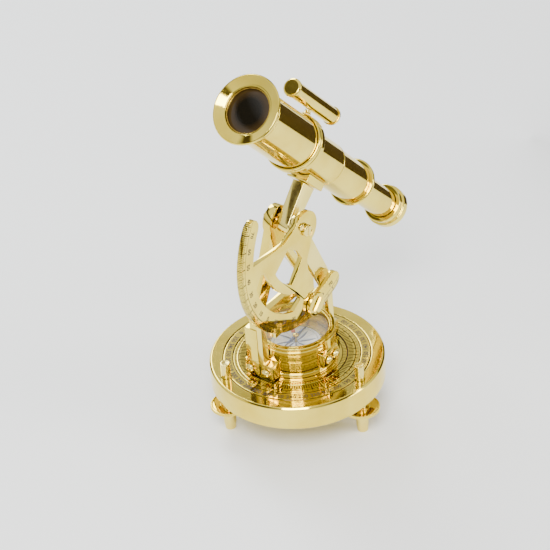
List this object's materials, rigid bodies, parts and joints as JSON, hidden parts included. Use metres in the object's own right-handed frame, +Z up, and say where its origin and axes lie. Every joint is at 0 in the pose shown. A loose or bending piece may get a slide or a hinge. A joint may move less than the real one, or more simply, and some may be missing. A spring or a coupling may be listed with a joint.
{
  "type": "desk theodolite",
  "caption": "Brass desk theodolite: levelling base, turning compass bowl, A-shaped standards, graduated arc and tilting telescope with a level.",
  "frame": {"origin": "centre of the base's flat underside, on the vertical axis", "axes": "+Z up; the telescope's objective points to -X and up; the arc's face looks to -Y"},
  "size_m": [0.1658, 0.1042, 0.2313],
  "materials": {
    "polished_brass": "polished",
    "pale_brass": "polished",
    "turned_brass": "turned",
    "clear_glass": "clear",
    "dark_lens": "polished",
    "dial_card": "printed",
    "blued_steel": "blued"
  },
  "bodies": {
    "base": {"base_dish": "polished_brass", "spindle_bush": "turned_brass", "spindle_cover": "polished_brass"},
    "alidade": {"turning_flange": "polished_brass", "azimuth_spindle": "turned_brass", "spindle_washer": "pale_brass", "spindle_nut": "polished_brass", "compass_bowl": "polished_brass", "dial_ring": "polished_brass", "compass_card": "dial_card", "needle_pivot": "turned_brass", "compass_glass": "clear_glass", "glass_bezel": "polished_brass", "near_standard": "pale_brass", "far_standard": "polished_brass", "side_lug": "polished_brass", "lug_screw_1": "pale_brass", "lug_screw_2": "pale_brass", "foot_screw_near_left": "pale_brass", "foot_screw_near_right": "pale_brass", "foot_screw_far_left": "pale_brass", "foot_screw_far_right": "pale_brass"},
    "needle": {"compass_needle": "blued_steel", "needle_cap": "polished_brass"},
    "telescope": {"vertical_arc": "polished_brass", "trunnion_axle": "turned_brass", "arc_boss": "polished_brass", "hub_screw": "pale_brass", "trunnion_nut": "polished_brass", "arc_screw_1": "pale_brass", "arc_screw_2": "pale_brass", "stem_bar": "pale_brass", "saddle_block": "polished_brass", "telescope_sleeve": "polished_brass", "rear_tube": "polished_brass", "main_ring": "polished_brass", "main_barrel": "polished_brass", "bell_hood": "polished_brass", "objective_lens": "dark_lens", "lens_ring": "turned_brass", "flange_ring": "polished_brass", "level_tube": "polished_brass", "level_vial": "clear_glass", "level_cap_front": "polished_brass", "level_cap_rear": "polished_brass", "level_post": "pale_brass"},
    "draw_tube": {"draw_tube": "polished_brass", "draw_tube_stop": "turned_brass", "eyepiece": "polished_brass", "eye_lens": "dark_lens"},
    "clamp": {"clamp_screw": "polished_brass"},
    "foot_left": {"levelling_foot_left": "pale_brass"},
    "screw_left": {"levelling_screw_left": "pale_brass", "thumb_wheel_left": "polished_brass"},
    "foot_front": {"levelling_foot_front": "pale_brass"},
    "screw_front": {"levelling_screw_front": "pale_brass", "thumb_wheel_front": "polished_brass"},
    "foot_right": {"levelling_foot_right": "pale_brass"},
    "screw_right": {"levelling_screw_right": "pale_brass", "thumb_wheel_right": "polished_brass"}
  },
  "joints": [
    {"name": "azimuth_turn", "type": "hinge", "parent": "base", "child": "alidade", "pos_m": [0, 0, 0.015], "axis": [0, 0, 1], "continuous": true},
    {"name": "needle_swing", "type": "hinge", "parent": "alidade", "child": "needle", "pos_m": [0, 0, 0.0275], "axis": [0, 0, 1], "continuous": true},
    {"name": "telescope_tilt", "type": "hinge", "parent": "alidade", "child": "telescope", "pos_m": [0, 0, 0.106], "axis": [0, 1, 0], "range_deg": [-108, 17]},
    {"name": "focus_slide", "type": "slide", "parent": "telescope", "child": "draw_tube", "axis": [-0.6691, 0, 0.7431], "range_m": [-0.012, 0.02]},
    {"name": "clamp_turn", "type": "hinge", "parent": "telescope", "child": "clamp", "pos_m": [0.00272, -0.0122, 0.05407], "axis": [0, -1, 0], "range_deg": [-90, 90]},
    {"name": "foot_travel_left", "type": "slide", "parent": "base", "child": "foot_left", "axis": [0, 0, 1], "range_m": [-0.0025, 0.0025]},
    {"name": "screw_turn_left", "type": "hinge", "parent": "foot_left", "child": "screw_left", "pos_m": [-0.03746, 0.02251, 0], "axis": [0, 0, 1], "range_deg": [-900.5, 900.5]},
    {"name": "foot_travel_front", "type": "slide", "parent": "base", "child": "foot_front", "axis": [0, 0, 1], "range_m": [-0.0025, 0.0025]},
    {"name": "screw_turn_front", "type": "hinge", "parent": "foot_front", "child": "screw_front", "pos_m": [-0.00076, -0.04369, 0], "axis": [0, 0, 1], "range_deg": [-900.5, 900.5]},
    {"name": "foot_travel_right", "type": "slide", "parent": "base", "child": "foot_right", "axis": [0, 0, 1], "range_m": [-0.0025, 0.0025]},
    {"name": "screw_turn_right", "type": "hinge", "parent": "foot_right", "child": "screw_right", "pos_m": [0.03822, 0.02119, 0], "axis": [0, 0, 1], "range_deg": [-900.5, 900.5]}
  ],
  "couplings": [
    {"joint": "screw_turn_left", "follows": "foot_travel_left", "rad_per_m": 6283.2},
    {"joint": "screw_turn_front", "follows": "foot_travel_front", "rad_per_m": 6283.2},
    {"joint": "screw_turn_right", "follows": "foot_travel_right", "rad_per_m": 6283.2}
  ]
}
